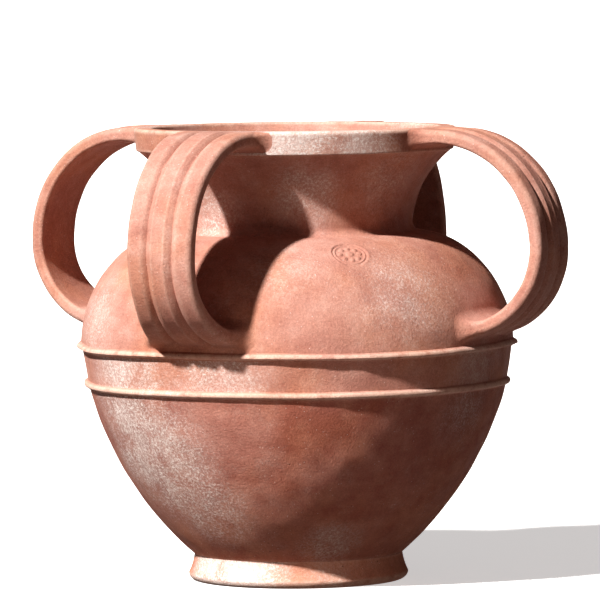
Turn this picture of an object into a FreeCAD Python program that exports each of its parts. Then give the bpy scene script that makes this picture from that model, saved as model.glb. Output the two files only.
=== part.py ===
import FreeCAD, Part

import math
import os

import Sketcher
from FreeCAD import Placement, Rotation, Vector

# A four-handled terracotta amphora, in millimetres, standing on z = 0 about the Z axis.
# It is thrown, pressed and luted together from separate pieces of clay before one firing:
# a foot ring with a floor disc let into it, a bowl, a belly band, a shoulder, a neck and a rim,
# two half-round fillets over the belly joints, and four ridged straps as handles.

doc = FreeCAD.newDocument("amphora")

# ---------------------------------------------------------------- driving dimensions

DRIVING = (
    ("wall", 18.0, "thickness of bowl, band, shoulder and neck"),
    ("foot_height", 29.0, "sole to the waist, where the bowl starts"),
    ("bowl_height", 188.0, "waist to the lower belly joint"),
    ("band_height", 42.0, "lower belly joint to the upper one"),
    ("shoulder_height", 125.6, "upper belly joint to the throat"),
    ("neck_height", 89.4, "throat to the underside of the rim"),
    ("rim_height", 26.0, "height of the rim's upright band"),
    ("waist_radius", 115.0, "outside of the bowl where it meets the foot"),
    ("foot_flare", 6.5, "how far the foot stands out past the waist"),
    ("foot_edge_height", 8.0, "height of the foot's widest part"),
    ("foot_tuck", 4.5, "how far the standing edge lies inside that widest part"),
    ("floor_recess", 7.0, "underside of the floor above the ground"),
    ("drain_radius", 14.0, "drain hole in the floor"),
    ("bowl_top_radius", 231.8, "outside of the bowl at the lower belly joint"),
    ("bowl_sweep", 369.3, "radius of the bowl's side arc"),
    ("band_lean", 6.2, "how much wider the band is at its top than at its bottom"),
    ("shoulder_step", 1.7, "how far the shoulder stands out past the top of the band"),
    ("crown_tightening", 2.4, "how much tighter the shoulder's top arc is than an oval's"),
    ("fillet_width", 14.0, "height of each half-round belly fillet"),
    ("fillet_relief", 4.0, "how far it stands out of the wall"),
    ("throat_radius", 128.5, "outside of the neck where it leaves the shoulder"),
    ("rim_radius", 177.0, "outside of the rim at its top"),
    ("rim_draft", 2.0, "how much narrower the rim is at its bottom"),
    ("rim_overhang", 2.0, "how far the rim's lower edge stands out past the neck"),
    ("rim_lip", 21.0, "thickness of the rim at its top"),
    ("rim_round", 3.5, "rounding of the rim's two top edges"),
    ("handle_stand_out", 79.8, "widest part of the shoulder to the outermost point of a handle"),
    ("handle_rise", 111.0, "height of that point above the upper belly joint"),
    ("handle_run", 14.0, "level run of the strap from the rim to its upper bend"),
    ("handle_tuck", 23.2, "centre of the strap's lower bend inside the widest part of the shoulder"),
    ("handle_clear", 1.0, "underside of the strap's root above the upper belly fillet"),
    ("handle_drop", 0.5, "top of a handle below the top of the rim"),
    ("handle_thickness", 16.0, "thickness of the strap over its ridges"),
    ("handle_groove", 4.0, "depth of the two grooves between the ridges"),
    ("handle_edge", 3.5, "rounding of the strap's two inner edges"),
    ("handle_width", 77.0, "width of the strap at its outermost point"),
    ("handle_top_width", 106.0, "width of the strap where it meets the rim"),
    ("handle_root_width", 124.0, "width of the strap where it meets the shoulder"),
)

# Degrees round the pot at which each strap is luted on. They are placed by eye, so one is a little off.
HANDLE_SIDES = {"right": 0, "back": 91.1, "left": 180, "front": 270}

EXPRESSION_SHEET = "Sizes"


class Size:
    """A length worked out from the sheet's cells: its value now, and the same sum as an expression."""

    def __init__(self, value, text=None):
        self.value = float(value)
        self.text = repr(float(value)) if text is None else text

    @staticmethod
    def of(other):
        return other if isinstance(other, Size) else Size(other)

    def __add__(self, other):
        other = Size.of(other)
        return Size(self.value + other.value, f"({self.text} + {other.text})")

    def __sub__(self, other):
        other = Size.of(other)
        return Size(self.value - other.value, f"({self.text} - {other.text})")

    def __mul__(self, other):
        other = Size.of(other)
        return Size(self.value * other.value, f"({self.text} * {other.text})")

    def __truediv__(self, other):
        other = Size.of(other)
        return Size(self.value / other.value, f"({self.text} / {other.text})")

    def __neg__(self):
        return Size(-self.value, f"(-{self.text})")

    __radd__ = __add__
    __rmul__ = __mul__

    def __rsub__(self, other):
        return Size.of(other) - self


def root(size):
    if size.value < 0:
        raise ValueError(f"these sizes don't meet: {size.text} is negative")
    return Size(math.sqrt(size.value), f"sqrt({size.text})")


def square(size):
    return size * size


def write_sheet():
    """Puts every driving dimension in a cell of its own, and returns them by name."""
    sheet = doc.addObject("Spreadsheet::Sheet", EXPRESSION_SHEET)
    sizes = {}
    for row, (name, value, meaning) in enumerate(DRIVING, start=1):
        sheet.set(f"A{row}", meaning)
        sheet.set(f"B{row}", str(value))
        sheet.setAlias(f"B{row}", name)
        sizes[name] = Size(value, f"{EXPRESSION_SHEET}.{name}")
    doc.recompute()
    return sizes


size = write_sheet()
ZERO = Size(0)
wall = size["wall"]

# ---------------------------------------------------------------- sketches and bodies


class Bend:
    """An arc edge of an outline, turning left (+1) or right (-1) on its way to the next corner."""

    def __init__(self, radius, turn):
        self.radius = Size.of(radius)
        self.turn = turn


def arc_geometry(start, end, bend):
    """The arc as Sketcher wants it, anticlockwise, and whether that runs it from end to start."""
    a = Vector(start[0].value, start[1].value, 0)
    b = Vector(end[0].value, end[1].value, 0)
    half = (b - a).Length / 2
    rise = math.sqrt(max(bend.radius.value**2 - half**2, 0))
    left = Vector(a.y - b.y, b.x - a.x, 0).normalize()
    centre = (a + b) / 2 + left * rise * bend.turn
    circle = Part.Circle(centre, Vector(0, 0, 1), bend.radius.value)
    first, last = (a, b) if bend.turn > 0 else (b, a)
    angles = [math.atan2(p.y - centre.y, p.x - centre.x) for p in (first, last)]
    if angles[1] <= angles[0]:
        angles[1] += 2 * math.pi
    return Part.ArcOfCircle(circle, *angles), bend.turn < 0


def bind(sketch, constraint, length):
    index = sketch.addConstraint(constraint)
    if EXPRESSION_SHEET in length.text:
        sketch.setExpression(f"Constraints[{index}]", length.text)


def draw(body, name, outline, plane="XZ_Plane"):
    """A closed sketch. The outline is a list of corners (x, y) or (x, y, Bend to the next corner)."""
    sketch = body.newObject("Sketcher::SketchObject", name)
    support = [f for f in body.Origin.OriginFeatures if f.Role == plane]
    sketch.AttachmentSupport = [(support[0], "")]
    sketch.MapMode = "FlatFace"
    starts, ends = [], []
    for here, ahead in zip(outline, outline[1:] + outline[:1]):
        if len(here) == 3:
            geometry, backwards = arc_geometry(here, ahead, here[2])
        else:
            corners = [Vector(p[0].value, p[1].value, 0) for p in (here, ahead)]
            geometry, backwards = Part.LineSegment(*corners), False
        index = sketch.addGeometry(geometry)
        starts.append((index, 2 if backwards else 1))
        ends.append((index, 1 if backwards else 2))
    for i, corner in enumerate(outline):
        sketch.addConstraint(Sketcher.Constraint("Coincident", *ends[i - 1], *starts[i]))
        for kind, across, length in (("DistanceX", -2, corner[0]), ("DistanceY", -1, corner[1])):
            if length is ZERO:
                sketch.addConstraint(Sketcher.Constraint("PointOnObject", *starts[i], across))
            else:
                bind(sketch, Sketcher.Constraint(kind, -1, 1, *starts[i], length.value), length)
        if len(corner) == 3:
            radius = corner[2].radius
            bind(sketch, Sketcher.Constraint("Radius", starts[i][0], radius.value), radius)
    return sketch


def new_body(label):
    body = doc.addObject("PartDesign::Body", label)
    body.Label = label
    return body


def spin(body, kind, name, outline):
    """Turns an outline in the XZ plane about the Z axis: a Revolution adds it, a Groove cuts it away."""
    sketch = draw(body, f"{name}_outline", outline)
    feature = body.newObject(f"PartDesign::{kind}", name)
    feature.Profile = sketch
    feature.ReferenceAxis = (sketch, ["V_Axis"])
    feature.Angle = 360
    body.Tip = feature


def turned(label, outline):
    """A piece made on the wheel."""
    body = new_body(label)
    spin(body, "Revolution", f"{label}_turned", outline)
    return body


# ---------------------------------------------------------------- lines of the wall


class Arc:
    """A circle in the radial plane, about (r, z)."""

    def __init__(self, r, z, radius):
        self.r, self.z, self.radius = r, z, radius

    @staticmethod
    def through(low, high, radius):
        """The arc that bulges outwards on its way up from one point (r, z) to another."""
        across, up = high[0] - low[0], high[1] - low[1]
        chord = root(square(across) + square(up))
        offset = root(square(radius) - square(chord / 2)) / chord
        return Arc((low[0] + high[0]) / 2 - up * offset, (low[1] + high[1]) / 2 + across * offset, radius)

    def outer_at(self, z):
        return self.r + root(square(self.radius) - square(z - self.z))

    def inner_at(self, z):
        return self.r - root(square(self.radius) - square(z - self.z))

    def level_at(self, r):
        return self.z + root(square(self.radius) - square(r - self.r))

    def grown(self, by):
        return Arc(self.r, self.z, self.radius + by)

    def touch(self, other):
        """Where two arcs, one inside the other, run into each other."""
        reach = self.radius / (self.radius - other.radius)
        return self.r + (other.r - self.r) * reach, self.z + (other.z - self.z) * reach


foot_height = size["foot_height"]
lower_joint = foot_height + size["bowl_height"]
upper_joint = lower_joint + size["band_height"]
throat_height = upper_joint + size["shoulder_height"]
neck_top = throat_height + size["neck_height"]
height = neck_top + size["rim_height"]

waist_radius = size["waist_radius"]
bowl_top_radius = size["bowl_top_radius"]
band_top_radius = bowl_top_radius + size["band_lean"]
shoulder_radius = band_top_radius + size["shoulder_step"]
throat_radius = size["throat_radius"]
rim_radius = size["rim_radius"]
rim_foot_radius = rim_radius - size["rim_draft"]
neck_top_radius = rim_foot_radius - size["rim_overhang"]

bowl = Arc.through((waist_radius, foot_height), (bowl_top_radius, lower_joint), size["bowl_sweep"])
bowl_inside = bowl.grown(-wall)
floor_radius = bowl_inside.outer_at(foot_height)

# The shoulder is upright at the belly joint and level at the throat: a side arc runs into a top arc,
# as in an oval drawn with four arcs.
shoulder_span = shoulder_radius - throat_radius
oval_corner = root(square(shoulder_span) + square(size["shoulder_height"]))
oval_share = (oval_corner + shoulder_span - size["shoulder_height"]) / 2
crown_sweep = oval_share * oval_corner / size["shoulder_height"] - size["crown_tightening"]
shoulder_top = Arc(throat_radius, throat_height - crown_sweep, crown_sweep)
side_sweep = (square(shoulder_span) + square(size["shoulder_height"] - crown_sweep) - square(crown_sweep)) / (
    2 * (shoulder_span - crown_sweep)
)
shoulder_side = Arc(shoulder_radius - side_sweep, upper_joint, side_sweep)
throat_inside = throat_radius - wall
throat_inside_height = shoulder_top.grown(-wall).level_at(throat_inside)

# The neck is upright at the throat and flares to meet the rim.
neck_flare = neck_top_radius - throat_radius
neck_sweep = (square(neck_flare) + square(size["neck_height"])) / (2 * neck_flare)
neck_side = Arc(throat_radius + neck_sweep, throat_height, neck_sweep)
neck_inside = neck_side.grown(wall)


def bulge_over(chord, rise):
    """The radius of an arc that stands this far out over its chord."""
    return (square(chord / 2) + square(rise)) / (2 * rise)


def fillet_ends(joint, line_below, line_above):
    """The two edges of a belly fillet on the wall, and the bend over them."""
    half = size["fillet_width"] / 2
    bottom = (line_below(joint - half), joint - half)
    top = (line_above(joint + half), joint + half)
    chord = root(square(size["fillet_width"]) + square(top[0] - bottom[0]))
    return bottom, top, Bend(bulge_over(chord, size["fillet_relief"]), 1)


def band_outside_at(z):
    """The belly band's straight outer line."""
    return bowl_top_radius + size["band_lean"] * (z - lower_joint) / size["band_height"]


def shoulder_outside():
    """From the upper belly joint up to the throat."""
    return [
        (shoulder_radius, upper_joint, Bend(side_sweep, 1)),
        (*shoulder_side.touch(shoulder_top), Bend(shoulder_top.radius, 1)),
    ]


def neck_outside():
    """From the throat up to the underside of the rim."""
    return [(throat_radius, throat_height, Bend(neck_sweep, -1)), (neck_top_radius, neck_top)]


def rim_outside():
    """From the rim's lower outer edge over its rounded top edge."""
    edge = size["rim_round"]
    return [
        (rim_foot_radius, neck_top),
        (rim_radius, height - edge, Bend(edge, 1)),
        (rim_radius - edge, height),
    ]


# ---------------------------------------------------------------- the turned pieces


def foot_ring():
    """A flared ring with a rounded lower edge, bored for the floor disc."""
    edge_height = size["foot_edge_height"]
    rise, tuck = foot_height - edge_height, size["foot_tuck"]
    heel = (square(edge_height) + square(tuck)) / (2 * tuck)
    flare = (square(rise) + square(size["foot_flare"])) / size["foot_flare"]
    foot_radius = waist_radius + size["foot_flare"]
    outline = [
        (floor_radius, ZERO),
        (foot_radius - tuck, ZERO, Bend(heel, 1)),
        (foot_radius, edge_height, Bend(flare, -1)),
        (waist_radius, foot_height),
        (floor_radius, foot_height),
    ]
    return turned("foot_ring", outline)


def floor_disc():
    """The floor, let into the foot ring, with a drain hole."""
    outline = [
        (size["drain_radius"], size["floor_recess"]),
        (floor_radius, size["floor_recess"]),
        (floor_radius, foot_height),
        (size["drain_radius"], foot_height),
    ]
    return turned("floor_disc", outline)


def lower_bowl():
    outline = [
        (floor_radius, foot_height),
        (waist_radius, foot_height, Bend(bowl.radius, 1)),
        (bowl_top_radius, lower_joint),
        (bowl_inside.outer_at(lower_joint), lower_joint, Bend(bowl_inside.radius, -1)),
    ]
    return turned("lower_bowl", outline)


def belly_band():
    """The slightly conical wall between the two fillets."""
    outline = [
        (bowl_inside.outer_at(lower_joint), lower_joint),
        (bowl_top_radius, lower_joint),
        (band_top_radius, upper_joint),
        (band_top_radius - wall, upper_joint),
    ]
    return turned("belly_band", outline)


def shoulder():
    side, top = shoulder_side.grown(-wall), shoulder_top.grown(-wall)
    inside = [
        (throat_radius, throat_height),
        (throat_inside, throat_inside_height, Bend(top.radius, -1)),
        (*side.touch(top), Bend(side.radius, -1)),
        (shoulder_radius - wall, upper_joint),
    ]
    return turned("shoulder", shoulder_outside() + inside)


def neck():
    inside = [
        (neck_inside.inner_at(neck_top), neck_top, Bend(neck_inside.radius, 1)),
        (throat_inside, throat_height),
        (throat_inside, throat_inside_height),
    ]
    return turned("neck", neck_outside() + inside)


def rim_band():
    edge = size["rim_round"]
    inside_radius = rim_radius - size["rim_lip"]
    inside = [
        (inside_radius + edge, height, Bend(edge, 1)),
        (inside_radius, height - edge),
        (neck_inside.inner_at(neck_top), neck_top),
    ]
    return turned("rim_band", rim_outside() + inside)


def lower_belly_fillet():
    """A half-round strip laid over the lower joint; its back follows the bowl and the band."""
    bottom, top, over = fillet_ends(lower_joint, bowl.outer_at, band_outside_at)
    back = [top, (bowl_top_radius, lower_joint, Bend(bowl.radius, -1))]
    return turned("lower_belly_fillet", [(*bottom, over)] + back)


def upper_belly_fillet():
    """A half-round strip laid over the upper joint; its back follows the band and the shoulder."""
    bottom, top, over = fillet_ends(upper_joint, band_outside_at, shoulder_side.outer_at)
    back = [
        (*top, Bend(side_sweep, -1)),
        (shoulder_radius, upper_joint),
        (band_top_radius, upper_joint),
    ]
    return turned("upper_belly_fillet", [(*bottom, over)] + back)


# ---------------------------------------------------------------- the handles

# How far each groove lies from the strap's middle, as a share of the strap's width there.
GROOVE_SHARE = 0.19


class StrapRun:
    """A quarter of an oval that the middle of the strap follows, from its outermost point to one end."""

    def __init__(self, centre, reach, rise, end_width, stations):
        self.centre, self.reach, self.rise = centre, reach, rise
        self.end_width, self.stations = end_width, stations

    def section(self, turn, share):
        """Place (r, z), tilt and width of the section this far round, and this far on to the end width."""
        across, up = math.cos(math.radians(turn)), math.sin(math.radians(turn))
        place = (self.centre[0] + self.reach * across, self.centre[1] + self.rise * up)
        tilt = tilt_of(self.rise * across, self.reach * up)
        return place, tilt, size["handle_width"] + (self.end_width - size["handle_width"]) * share


def tilt_of(across, up):
    """The angle of a direction above the horizontal, in degrees."""
    return Size(math.degrees(math.atan2(up.value, across.value)), f"atan2({up.text}; {across.text})")


half_strap = size["handle_thickness"] / 2
handle_height = upper_joint + size["handle_rise"]
handle_reach = shoulder_radius + size["handle_stand_out"] - half_strap
strap_level = height - size["handle_drop"] - half_strap
root_level = upper_joint + size["fillet_width"] / 2 + size["handle_clear"] + half_strap
upper_centre = rim_radius + size["handle_run"]
lower_centre = shoulder_radius - size["handle_tuck"]

# The stations are degrees round the oval, with how far the width has gone on to that of the end.
upper_run = StrapRun(
    (upper_centre, handle_height),
    handle_reach - upper_centre,
    strap_level - handle_height,
    size["handle_top_width"],
    ((90, 0.9), (66, 0.42), (33, 0.1), (0, 0.0)),
)
lower_run = StrapRun(
    (lower_centre, handle_height),
    handle_reach - lower_centre,
    handle_height - root_level,
    size["handle_root_width"],
    ((-28, 0.05), (-52, 0.3), (-70, 0.72), (-82, 1.0), (-96, 1.15)),
)


def strap_outline(width):
    """Across the run of the strap: flat inside and at the sides, three ridges outside."""
    inside, side = -half_strap, width / 2
    groove_bottom = half_strap - size["handle_groove"]
    groove = width * GROOVE_SHARE
    edge = size["handle_edge"]
    side_ridge = Bend(bulge_over(side - groove, size["handle_groove"]), 1)
    middle_ridge = Bend(bulge_over(groove * 2, size["handle_groove"]), 1)
    return [
        (inside, side - edge),
        (inside, edge - side, Bend(edge, 1)),
        (inside + edge, -side),
        (groove_bottom, -side, side_ridge),
        (groove_bottom, -groove, middle_ridge),
        (groove_bottom, groove, side_ridge),
        (groove_bottom, side),
        (inside + edge, side, Bend(edge, 1)),
    ]


def strap_section(body, name, place, tilt, width):
    """A sketch across the strap, its outer side turned up from the horizontal by the tilt."""
    sketch = draw(body, name, strap_outline(width), "XY_Plane")
    axis = Vector(0, -1, 0) if tilt.value > 0 else Vector(0, 1, 0)
    steepness = tilt if tilt.value > 0 else -tilt
    sketch.AttachmentOffset = Placement(
        Vector(place[0].value, 0, place[1].value), Rotation(axis, steepness.value)
    )
    sketch.setExpression(".AttachmentOffset.Base.x", place[0].text)
    sketch.setExpression(".AttachmentOffset.Base.z", place[1].text)
    if steepness.value > 0:
        sketch.setExpression(".AttachmentOffset.Rotation.Angle", steepness.text)
    return sketch


def strap_sections(body):
    """Sections from inside the rim, round both bends, to inside the shoulder."""
    inside_rim = (rim_radius - size["rim_lip"] / 2, strap_level)
    sections = [strap_section(body, "at_rim", inside_rim, Size(90), size["handle_top_width"])]
    for run in (upper_run, lower_run):
        for turn, share in run.stations:
            name = f"station_{len(sections)}"
            sections.append(strap_section(body, name, *run.section(turn, share)))
    return sections


def handle(side, degrees):
    """A ridged strap from the rim down to the shoulder, its two ends cut to the wall and the fillet."""
    body = new_body(f"handle_{side}")
    sections = strap_sections(body)
    loft = body.newObject("PartDesign::AdditiveLoft", f"{body.Label}_strap")
    loft.Profile = sections[0]
    loft.Sections = sections[1:]
    loft.Ruled = False
    body.Tip = loft
    bottom, top, over = fillet_ends(upper_joint, band_outside_at, shoulder_side.outer_at)
    shoulder_from_fillet = [(*top, Bend(side_sweep, 1))] + shoulder_outside()[1:]
    pot = [(ZERO, bottom[1]), (*bottom, over)] + shoulder_from_fillet + neck_outside() + rim_outside()
    spin(body, "Groove", f"{body.Label}_ends", pot + [(ZERO, height)])
    body.Placement = Placement(Vector(), Rotation(Vector(0, 0, 1), degrees))
    return body


# ---------------------------------------------------------------- build, check and write


def build():
    bodies = [foot_ring(), floor_disc(), lower_bowl(), belly_band(), shoulder(), neck(), rim_band()]
    bodies += [lower_belly_fillet(), upper_belly_fillet()]
    bodies += [handle(side, degrees) for side, degrees in HANDLE_SIDES.items()]
    doc.recompute()
    return bodies


def check(bodies):
    for item in doc.Objects:
        if {"Invalid", "Error"} & set(item.State):
            raise RuntimeError(f"{item.Label} failed: {item.State}")
        if item.TypeId == "PartDesign::Groove" and item.Shape.Volume >= item.BaseFeature.Shape.Volume:
            raise RuntimeError(f"{item.Label} cuts nothing away")
    for body in bodies:
        if body.Shape.isNull() or not body.Shape.isValid() or len(body.Shape.Solids) != 1:
            raise RuntimeError(f"{body.Label} isn't one valid solid")


def write(bodies):
    os.makedirs("parts", exist_ok=True)
    for body in bodies:
        body.Shape.exportStep(f"parts/{body.Label}.step")
        print(f"{body.Label}: {body.Shape.Volume / 1000:.0f} cm3")


made = build()
check(made)
write(made)
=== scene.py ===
import math
import random

import bmesh
import bpy
import numpy as np
from mathutils import Matrix, Vector


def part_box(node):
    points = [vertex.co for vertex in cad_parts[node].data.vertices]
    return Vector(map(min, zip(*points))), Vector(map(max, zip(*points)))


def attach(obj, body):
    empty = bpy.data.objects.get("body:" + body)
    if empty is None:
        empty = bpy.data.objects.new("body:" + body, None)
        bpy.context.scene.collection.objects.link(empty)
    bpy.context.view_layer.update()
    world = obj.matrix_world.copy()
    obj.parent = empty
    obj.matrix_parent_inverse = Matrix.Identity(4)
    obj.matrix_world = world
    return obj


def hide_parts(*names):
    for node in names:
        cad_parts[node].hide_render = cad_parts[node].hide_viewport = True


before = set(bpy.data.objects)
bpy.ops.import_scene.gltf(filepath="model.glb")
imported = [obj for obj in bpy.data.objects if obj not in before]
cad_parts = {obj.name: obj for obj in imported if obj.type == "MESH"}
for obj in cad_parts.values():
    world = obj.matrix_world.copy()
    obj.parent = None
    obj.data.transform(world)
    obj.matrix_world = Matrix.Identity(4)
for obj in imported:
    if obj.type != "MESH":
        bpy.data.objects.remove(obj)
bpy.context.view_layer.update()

# ---------------------------------------------------------------- foot ring
# The flared ring that the amphora stands on, of the same sandy unglazed terracotta as all the rest.
# It is thrown upside down on the wheel and luted under the bowl with slip; its outer lower edge is
# rounded and rubbed pale where the pot is tilted and rolled.

mm = 0.001
COLUMNS = 360


def line(start, end, step=3 * mm):
    """Points after the start, up to the end, along a straight line in the radial plane."""
    count = max(1, math.ceil(math.dist(start, end) / step))
    return [tuple(a + (b - a) * i / count for a, b in zip(start, end)) for i in range(1, count + 1)]


def arc(start, end, radius, step=3 * mm):
    """The same along an arc that turns left (a radius above 0) or right (below 0)."""
    across, up = end[0] - start[0], end[1] - start[1]
    chord = math.hypot(across, up)
    offset = math.copysign(math.sqrt(max(radius**2 - chord**2 / 4, 0)), radius) / chord
    centre = ((start[0] + end[0]) / 2 - up * offset, (start[1] + end[1]) / 2 + across * offset)
    sweep = math.copysign(2 * math.asin(min(chord / 2 / abs(radius), 1)), radius)
    first = math.atan2(start[1] - centre[1], start[0] - centre[0])
    count = max(3, math.ceil(abs(sweep * radius) / step))
    turns = [first + sweep * i / count for i in range(1, count + 1)]
    return [(centre[0] + abs(radius) * math.cos(t), centre[1] + abs(radius) * math.sin(t)) for t in turns]


def trace(*corners, step=3 * mm):
    """A closed line through corners (r, z) or (r, z, radius of the arc to the next corner)."""
    points = []
    for here, ahead in zip(corners, corners[1:] + corners[:1]):
        start, end = here[:2], ahead[:2]
        points += arc(start, end, here[2], step) if len(here) == 3 else line(start, end, step)
    return points


def rubbed(outline):
    """How rubbed each point of a closed line is: 1 on a tight outward bend, 0 on flat or hollow ones."""
    points = np.array(outline)
    before, after = points - np.roll(points, 1, 0), np.roll(points, -1, 0) - points
    turn = np.arctan2(
        before[:, 0] * after[:, 1] - before[:, 1] * after[:, 0], (before * after).sum(1)
    )
    bend = turn / (np.linalg.norm(before, axis=1) + np.linalg.norm(after, axis=1) + 1e-9) * 2
    wear = np.clip((bend - 1 / (30 * mm)) / (1 / (8 * mm) - 1 / (30 * mm)), 0, 1)
    return (np.roll(wear, 1) + 2 * wear + np.roll(wear, -1)) / 4


class Unevenness:
    """Slow waves over the clay, as hands leave them. Each is a seeded sum of plane waves."""

    def __init__(self, seed, shortest, longest, height, count=22):
        rng = random.Random(seed)
        self.waves = []
        for _ in range(count):
            direction = Vector([rng.gauss(0, 1) for _ in range(3)]).normalized()
            pitch = 2 * math.pi / rng.uniform(shortest, longest)
            self.waves.append((direction * pitch, rng.uniform(0, 2 * math.pi)))
        self.height = height / math.sqrt(count / 2)

    def at(self, points):
        total = np.zeros(len(points))
        for direction, phase in self.waves:
            total += np.sin(points @ np.array(direction) + phase)
        return total * self.height


OUT_OF_ROUND = Unevenness(3, 260 * mm, 620 * mm, 0.7 * mm)
SAG = Unevenness(5, 200 * mm, 480 * mm, 0.6 * mm)
DENTS = Unevenness(8, 26 * mm, 70 * mm, 0.22 * mm, 40)


def by_hand(points):
    """Moves points of the true shape as the hand-made one strays from it. Sole and rim stay level."""
    radial = points * (1, 1, 0)
    distance = np.linalg.norm(radial, axis=1)
    reach = np.clip(distance / (240 * mm), 0, 1)
    level = np.clip(4 * points[:, 2] * (height - points[:, 2]) / height**2, 0, 1)
    stray = (OUT_OF_ROUND.at(points) + DENTS.at(points)) * reach / (distance + 1e-6)
    moved = points + radial * stray[:, None]
    moved[:, 2] += SAG.at(points) * reach * np.sqrt(level)
    return moved


def clay_mesh(name, node, grid, wear, close_ends=False):
    """A piece from a grid of points, rows by columns: its rows are closed loops, and its columns too
    unless its two ends are closed with caps."""
    rows, across = grid.shape[:2]
    points = by_hand(grid.reshape(-1, 3))
    quads = []
    for i in range(rows - 1 if close_ends else rows):
        here, ahead = i * across, (i + 1) % rows * across
        for j in range(across):
            k = (j + 1) % across
            quads.append((here + j, here + k, ahead + k, ahead + j))
    if close_ends:
        quads.append(tuple(range(across)))
        quads.append(tuple(range((rows - 1) * across, rows * across)))
    mesh = bpy.data.meshes.new(name)
    mesh.from_pydata(points.tolist(), [], quads)
    rub_marks = mesh.attributes.new("rubbed", "FLOAT", "POINT")
    rub_marks.data.foreach_set("value", wear.reshape(-1).astype(np.float32))
    shell = bmesh.new()
    shell.from_mesh(mesh)
    bmesh.ops.recalc_face_normals(shell, faces=shell.faces)
    shell.to_mesh(mesh)
    shell.free()
    mesh.shade_smooth()
    mesh.set_sharp_from_angle(angle=math.radians(58))
    piece = bpy.data.objects.new(name, mesh)
    bpy.context.scene.collection.objects.link(piece)
    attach(piece, "root")
    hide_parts(node)
    return piece


def turned(name, node, outline, angles=None):
    """A piece made on the wheel. The outline is a closed line, or gives one for each angle."""
    if angles is None:
        angles = [2 * math.pi * i / COLUMNS for i in range(COLUMNS)]
    grid, wear = [], []
    for angle in angles:
        points = np.array(outline(angle) if callable(outline) else outline)
        r, z = points.T
        grid.append(np.column_stack([r * math.cos(angle), r * math.sin(angle), z]))
        wear.append(rubbed(points))
    return clay_mesh(name, node, np.array(grid), np.array(wear))


class Value:
    """A socket of a material's nodes. An expression on it adds Math nodes."""

    tree = None

    def __init__(self, socket):
        self.socket = socket

    @classmethod
    def node(cls, kind, settings=None, sockets=None, output=0):
        """Adds a node: its settings are set first, then the values or links of its sockets."""
        made = cls.tree.nodes.new("ShaderNode" + kind)
        for name, setting in (settings or {}).items():
            if name == "stops":
                ramp = made.color_ramp.elements
                while len(ramp) < len(setting):
                    ramp.new(0.5)
                for stop, (place, colour) in zip(ramp, setting):
                    stop.position, stop.color = place, colour
            else:
                setattr(made, name, setting)
        for name, value in (sockets or {}).items():
            if isinstance(value, Value):
                cls.tree.links.new(value.socket, made.inputs[name])
            else:
                made.inputs[name].default_value = value
        return cls(made.outputs[output])

    def math(self, operation, other, swap=False):
        first, second = (other, self) if swap else (self, other)
        return Value.node("Math", {"operation": operation}, {0: first, 1: second})

    def __add__(self, other):
        return self.math("ADD", other)

    def __sub__(self, other):
        return self.math("SUBTRACT", other)

    def __rsub__(self, other):
        return self.math("SUBTRACT", other, swap=True)

    def __mul__(self, other):
        return self.math("MULTIPLY", other)

    __radd__ = __add__
    __rmul__ = __mul__

    def clipped(self):
        return Value.node("Clamp", {}, {"Value": self})

    def between(self, low, high):
        """0 below one value, 1 above the other, and smooth between them."""
        limits = {"Value": self, "From Min": low, "From Max": high}
        return Value.node("MapRange", {"interpolation_type": "SMOOTHSTEP"}, limits)

    def tint(self, colour_at_0, colour_at_1):
        """A mix of two colours by this value."""
        return Value.node("Mix", {"data_type": "RGBA"}, {0: self, 6: colour_at_0, 7: colour_at_1}, output=2)


def noise(place, size, detail=3.0, roughness=0.55, distortion=0.0):
    """Cloudy noise from 0 to 1 with blotches about this size, in metres."""
    sockets = {"Vector": place, "Scale": 1 / size, "Detail": detail, "Roughness": roughness}
    return Value.node("TexNoise", {}, sockets | {"Distortion": distortion})


def scattered_dots(place, spacing, low, high):
    """1 on round dots strewn at about this spacing, 0 between them."""
    cells = Value.node("TexVoronoi", {}, {"Vector": place, "Scale": 1 / spacing, "Randomness": 1.0})
    return 1 - cells.between(low, high)


CLAY_DEEP = (0.320, 0.122, 0.090, 1)
CLAY_WARM = (0.490, 0.246, 0.190, 1)
CLAY_PINK = (0.620, 0.380, 0.312, 1)
CLAY_WORN = (0.760, 0.570, 0.470, 1)
BLOOM = (0.830, 0.735, 0.695, 1)
FLUSH_ORANGE = (1.06, 0.98, 0.85, 1)
FLUSH_MAUVE = (0.99, 1.00, 1.03, 1)
PAINTED_PIT_SHADE = (0.110, 0.055, 0.040, 1)
WIPED_ON_THE_WHEEL = (1.0, 1.0, 6.0)
WIPED_ALL_WAYS = (1.0, 1.0, 1.0)


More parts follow.
